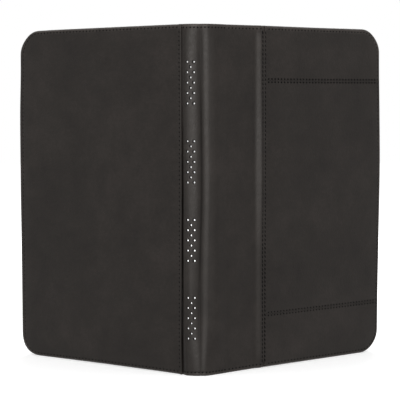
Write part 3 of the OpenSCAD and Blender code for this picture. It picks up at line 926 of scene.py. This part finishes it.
bandU = np.concatenate([  # columns, closer together over the ridge and at the seam
    np.linspace(27, 53, 11), np.linspace(54, 65, 25),
    [65.3, 65.6, 65.9, 66.2, 66.5, 66.8, 67.1, 67.4, 67.7, 67.95, 68.2, 68.5, 68.8, 69.1, 69.3, 69.36],
])
inner, r = case["innerFace"], band["edge"]
turnIn = [(10.0, inner - 0.8), (10.0, inner - 0.4), (9.85, inner - 0.1)]  # height, depth
turnIn += [(z, inner) for z in (9.4, 6.0, 3.0)]
turnIn += [(r - r * math.sin(a), inner - r + r * math.cos(a)) for a in quarterTurn]
rim = [(r - r * math.sin(a), r - r * math.cos(a)) for a in quarterTurn]  # height, drop
bandZ = np.array([z for z in wrapHeights if r < z < height - r])
bandRows = turnIn + [(z, bandFace(bandU, r) + drop) for z, drop in reversed(rim)]
bandRows += [(z, bandFace(bandU, z)) for z in bandZ]
bandRows += [(height - z, bandFace(bandU, height - r) + drop) for z, drop in rim]
bandRows += [(height - z, n) for z, n in reversed(turnIn)]
bandTop = np.minimum(bandFace(np.full(len(bandZ), band["end"]), bandZ), wallTop)
bandGrids = [
    np.array([placeCover(1, bandU, n, z) for z, n in bandRows]),
    np.array([placeCover(1, band["end"], bandTop, bandZ), placeCover(1, band["end"], hide, bandZ)]),
]
endZ, endN = np.array(turnIn).T
endDepths = (endN, np.minimum(endN, band["glued"]))
for z in (endZ, height - endZ):  # the turn-in's end where the board starts
    bandGrids.append(np.array([placeCover(1, band["start"], n, z) for n in endDepths]))
bandPiece = addPiece("front_band_leather", bandGrids, leather)

lining = {
    "set": 10.1,  # from the cover's edges
    "unevenness": 0.05,
    "phase": 4.0,
    # inset and drop of its turned edge, then only insets up to its flat middle
    "edge": [(10.1, 0.7), (10.12, 0.3), (10.25, 0.1)] + [(v, 0.0) for v in (10.6, 12, 14, 16.5, 19, 22)],
    # the same beside the spine
    "hinge": [(0, 2.0), (0, 1.0), (0, 0.5), (0.15, 0.2), (0.5, 0.05), (1.2, 0.0), (3, 0.0)],
    "waveFrom": 11,  # the unevenness starts at this inset
}


def coverLining(name, side, start, outer):
    corner, steps = case["corner"], 36
    hingeU, hingeDrop = np.array(lining["hinge"]).T
    us = np.concatenate([start + hingeU, np.linspace(start + 6, outer - corner, steps)])
    turned = np.concatenate([hingeDrop, np.zeros(steps)])
    zs = np.linspace(corner, height - corner, 60)
    around = np.concatenate([turned, np.zeros(len(cornerBend) * 2 + len(zs)), turned[::-1]])

    def face(u, z, drop, uneven):
        wave = lining["unevenness"] * handWave(u, z, lining["phase"]) * uneven
        return placeCover(side, u, case["innerFace"] - drop + wave, z)

    rows = []
    for inset, drop in lining["edge"]:
        u, z = coverOutline(us, zs, outer, inset).T
        rows.append(face(u, z, np.maximum(drop, around), inset > lining["waveFrom"]))
    u, z = np.broadcast_arrays(us[None, :], zs[:, None])
    return addPiece(name, [np.array(rows), face(u, z, turned[None, :], turned[None, :] == 0)], suede)


# the back cover's board and foam, cut to the same outline as its leather
insert = {
    "set": 1.6,  # from the cover's outer edges
    "board": (20.2, 2.6, 4.6),  # where it starts, and the depths of its faces
    "padding": (30.55, 1.3, 2.6),
}


def coverInsert(kind, finish):
    start, *depths = insert[kind]
    outer, corner = case["backOuter"], case["corner"]
    us, zs = np.linspace(start, outer - corner, 30)[:-1], np.linspace(corner, height - corner, 40)[1:-1]
    u, z = coverOutline(us, zs, outer, insert["set"], np.radians(np.linspace(0, 90, 13))).T
    points = np.concatenate([placeCover(-1, u, n, z) for n in depths])
    count = len(u)
    faces = [tuple(range(count)), tuple(range(2 * count - 1, count - 1, -1))]
    faces += [(k, (k + 1) % count, count + (k + 1) % count, count + k) for k in range(count)]
    return addPiece("back_cover_" + kind, [], finish, [(points.tolist(), faces)], 30)


backBoard, backPadding = coverInsert("board", greyboard), coverInsert("padding", foam)
backLining = coverLining("back_cover_lining", -1, case["backStiff"], case["backOuter"])
frontLining = coverLining("front_cover_lining", 1, case["frontStiff"], case["frontOuter"])

print("corner straps")
strap = {
    "wide": 20.0,
    "reach": 62.0,  # from the corner along each edge, to the strap's far side
    "margin": 5.0,
    "thick": 1.2,
    "lift": 0.5,  # how far it stands off the lining at its middle
    "round": 0.45,
    "fullness": 0.7,  # below 1 the lift is reached sooner from the ends
    "under": (0.9, 0.02),  # the underside's share of the lift, and its least gap to the lining
}
diagonal = math.sqrt(2)


def cornerStrap(name, side, outer, top):
    k = np.linspace(strap["reach"] - strap["wide"] * diagonal, strap["reach"], 17)[None, :]
    t = np.linspace(0, 1, 41)[:, None]
    a = strap["margin"] + t * (k - 2 * strap["margin"])
    lift = strap["lift"] * np.sin(math.pi * t) ** strap["fullness"] + 0 * k
    edge = np.minimum(k - k.min(), k.max() - k) / diagonal
    z = height - (k - a) if top else k - a
    base, (share, least) = case["innerFace"], strap["under"]
    upper = placeCover(side, outer - a, base + strap["thick"] + lift - roundOver(edge, strap["round"]), z)
    lower = placeCover(side, outer - a, base + lift * share + least, z)
    ends = [np.array([upper[i], lower[i]]) for i in (0, -1)]
    sides = [np.array([upper[:, i], lower[:, i]]) for i in (0, -1)]
    obj = addPiece(name, [upper, lower] + ends + sides, elastic)
    layer = obj.data.uv_layers.new(name="weave")
    for loop in obj.data.loops:
        p = obj.data.vertices[loop.vertex_index].co * 1000
        away, up = outer - coverU(side, p.x, p.y), abs((height if top else 0.0) - p.z)
        layer.data[loop.index].uv = ((away - up) / diagonal, (away + up) / diagonal)
    return obj


straps = []
for side, word in ((-1, "back"), (1, "front")):
    for end in ("bottom", "top"):
        piece = cornerStrap(f"{word}_{end}_elastic", side, case[word + "Outer"], end == "top")
        straps.append((word, end, piece))

print("stitching")
stitch = {
    "edge": (3.85, 2.0, 0.76, 0.62, 32.0),  # pitch, length, radius on level and on upright runs, slant
    "high": (3.75, 1.8, 1.08, 1.08, 12.0),  # the two level seams
    "low": (3.6, 1.8, 0.92, 0.92, 12.0),
    "bandRow": (3.85, 3.7, 0.62, 0.62, 10.0),  # beside the upright seam
    "panelRow": (3.85, 3.5, 0.68, 0.68, 14.0),
    "flap": (3.85, 2.0, 0.7, 0.7, 32.0),
    "spine": (3.25, 2.0, 0.8, 0.7, 32.0),
    "sink": 0.7,
    "proud": -0.3,
    "rest": 0.06,  # how far above the bottom of their valley the stitches are set
    # along a stitch: place, share of the sink, share of the radius
    "profile": [(-0.5, 1.0, 0.55), (-0.42, 0.62, 0.9), (-0.25, 0.16, 1.0), (0.0, 0.0, 1.0),
                (0.25, 0.16, 1.0), (0.42, 0.62, 0.9), (0.5, 1.0, 0.55)],
    "sides": 6,
    # how far the rows stop short of what they meet
    "atFlap": 0.4,
    "atFlapEnds": 2.0,
    "atBoard": 1.5,
    "atSeam": 3.2,
    "atSeamEnds": 1.5,
    "levelEnds": (2.8, 1.4),
    "bandEnds": (1.0, 3.0),
}


def stitchLine(points, normals, kind="edge"):
    # stitches along a line of points, each (middle, direction, outward, length, radius)
    points, normals = np.asarray(points), np.asarray(normals)
    steps = np.linalg.norm(np.diff(points, axis=0), axis=1) * 1000
    along = np.concatenate([[0], np.cumsum(steps)])
    pitch, long, levelFat, uprightFat, slant = stitch[kind]
    slant = math.radians(slant)
    count = max(1, round(along[-1] / pitch))
    reach = 0.6  # the direction is taken over this much to each side

    def at(place, values):
        return np.array([np.interp(place, along, values[:, i]) for i in range(3)])

    found = []
    for place in (np.arange(count) + 0.5) * along[-1] / count:
        normal, direction = at(place, normals), at(place + reach, points) - at(place - reach, points)
        direction, normal = direction / np.linalg.norm(direction), normal / np.linalg.norm(normal)
        fat = levelFat + (uprightFat - levelFat) * abs(direction[2])
        direction = direction * math.cos(slant) + np.cross(normal, direction) * math.sin(slant)
        found.append((at(place, points), direction, normal, long, fat))
    return found


def sewThread(name, found):
    points, faces = [], []
    profile, sides = stitch["profile"], stitch["sides"]
    last = (len(profile) - 1) * sides
    for middle, direction, normal, long, fat in found:
        across = np.cross(normal, direction)
        start = len(points)
        for along, sunk, share in profile:
            out = stitch["proud"] - sunk * stitch["sink"]
            centre = middle + direction * along * long / 1000 + normal * out / 1000
            for k in range(sides):
                angle = 2 * math.pi * k / sides
                spoke = across * math.cos(angle) + normal * math.sin(angle)
                points.append(centre + spoke * fat * share / 1000)
        for a in range(start, start + last, sides):
            for k in range(sides):
                after = (k + 1) % sides
                faces.append((a + k, a + after, a + sides + after, a + sides + k))
        faces.append(tuple(start + sides - 1 - k for k in range(sides)))
        faces.append(tuple(start + last + k for k in range(sides)))
    mesh = bpy.data.meshes.new(name)
    mesh.from_pydata([tuple(p) for p in points], [], faces)
    mesh.polygons.foreach_set("use_smooth", [True] * len(mesh.polygons))
    mesh.materials.append(thread)
    return addObject(name, mesh)


def coverLine(side, u, z, n, inside=False, kind="edge"):
    points = placeCover(side, u, n, z)
    outward = np.array([side * leanSin, -leanCos, 0.0])
    return stitchLine(points, np.tile(-outward if inside else outward, (len(points), 1)), kind)


def edgePath(word, start):  # along the bottom, round the corners and back along the top
    outer, corner = case[word + "Outer"], case["corner"]
    us, zs = np.linspace(start, outer - corner, 60)[:-1], np.linspace(corner, height - corner, 80)[1:-1]
    bend = np.radians(np.linspace(0, 90, 25))
    return coverOutline(us, zs, outer, case[word + "RowSet"], bend, case[word + "StitchSet"]).T


def upright(short):  # heights of an upright row
    return np.linspace(case["stitchSet"] + short, height - case["stitchSet"] - short, 50)


sunk = wrap["valley"] - stitch["rest"]
stitchSet, seam, inner = case["stitchSet"], case["seam"], case["innerFace"]
flapU = case["backFlap"] + cover["flapRow"]
backRows = coverLine(-1, *edgePath("back", flapU + stitch["atFlap"]), sunk)
backRows += coverLine(-1, flapU, upright(stitch["atFlapEnds"]), sunk, kind="flap")
backRows += coverLine(-1, *edgePath("back", case["backStiff"] + stitch["atBoard"]), inner, True)
frontRows = coverLine(1, *edgePath("front", seam + stitch["atSeam"]), sunk)
z = upright(stitch["atSeamEnds"])
for kind, rowU in (("bandRow", seam - cover["bandRow"]), ("panelRow", seam + cover["panelRow"])):
    frontRows += coverLine(1, rowU - cover["rowLean"] * (1 - z / height), z, sunk, kind=kind)
first, last = stitch["levelEnds"]
u = np.linspace(seam + first, case["frontOuter"] - case["frontStitchSet"] - last, 50)
for kind in ("low", "high"):
    for beside in (-cover["seamRow"], cover["seamRow"]):
        frontRows += coverLine(1, u, case[kind + "Seam"] + beside, sunk, kind=kind)
first, last = stitch["bandEnds"]
u = np.linspace(case["frontStiff"] + first, seam - last, 40)
for z in (stitchSet, height - stitchSet):
    frontRows += coverLine(1, u, z, bandFace(u, z) - stitch["rest"])
frontRows += coverLine(1, *edgePath("front", case["frontStiff"] + stitch["atBoard"]), inner, True)


def wrapLine(first, last):
    found = []
    s = np.linspace(first, last, 60)
    for z in (stitchSet, height - stitchSet):
        for out, outward in ((wrapFace(s, z) + stitch["rest"], 1), (liningOut, -1)):
            points = placeSpine(s, out, z)
            found += stitchLine(points, placeSpine(s, out + outward, z) - points, "spine")
    return found


rowBack, rowFront = wrapOf(wrap["rowEnds"][0]), wrapOf(wrap["rowEnds"][1])
threads = {
    "back": sewThread("back_cover_stitching", backRows),
    "front": sewThread("front_cover_stitching", frontRows),
    "backFold": sewThread("back_fold_stitching", wrapLine(-rowBack, wrap["backCut"])),
    "spine": sewThread("spine_stitching", wrapLine(wrap["backCut"], wrap["frontCut"])),
    "frontFold": sewThread("front_fold_stitching", wrapLine(wrap["frontCut"], rowFront)),
}

def bendAcross(obj, first, second, *lengths):
    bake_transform(obj)


for obj in (backFold, backFoldLining, threads["backFold"]):
    bendAcross(obj, "back_cover", "spine_back", *(-wrapOf(u) for u in wrap["backBend"]))
for obj in (spine, spineLining, threads["spine"]):
    bendAcross(obj, "spine_back", "spine_front", *wrap["midBend"])
for obj in (frontFold, frontFoldLining, threads["frontFold"]):
    bendAcross(obj, "spine_front", "front_cover", *(wrapOf(u) for u in wrap["frontBend"]))
for obj in (backPanel, backBoard, backPadding, backLining, threads["back"]):
    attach(obj, "back_cover")
for obj in frontPanels + [bandPiece, frontLining, threads["front"]]:
    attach(obj, "front_cover")
for word, end, obj in straps:
    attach(obj, f"{word}_cover")
    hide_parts(f"{word}_strap_{end}")
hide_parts("back_leather")
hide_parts("back_tongue")
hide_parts("spine_back_leather", "spine_front_leather")
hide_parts("spine_back_lining", "spine_front_lining")
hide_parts("front_band")
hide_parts("back_board")
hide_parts("back_padding")
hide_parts("back_lining")
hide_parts("front_lining")
for obj, part in zip(frontPanels, panelParts):
    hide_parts(f"front_{part}_panel")
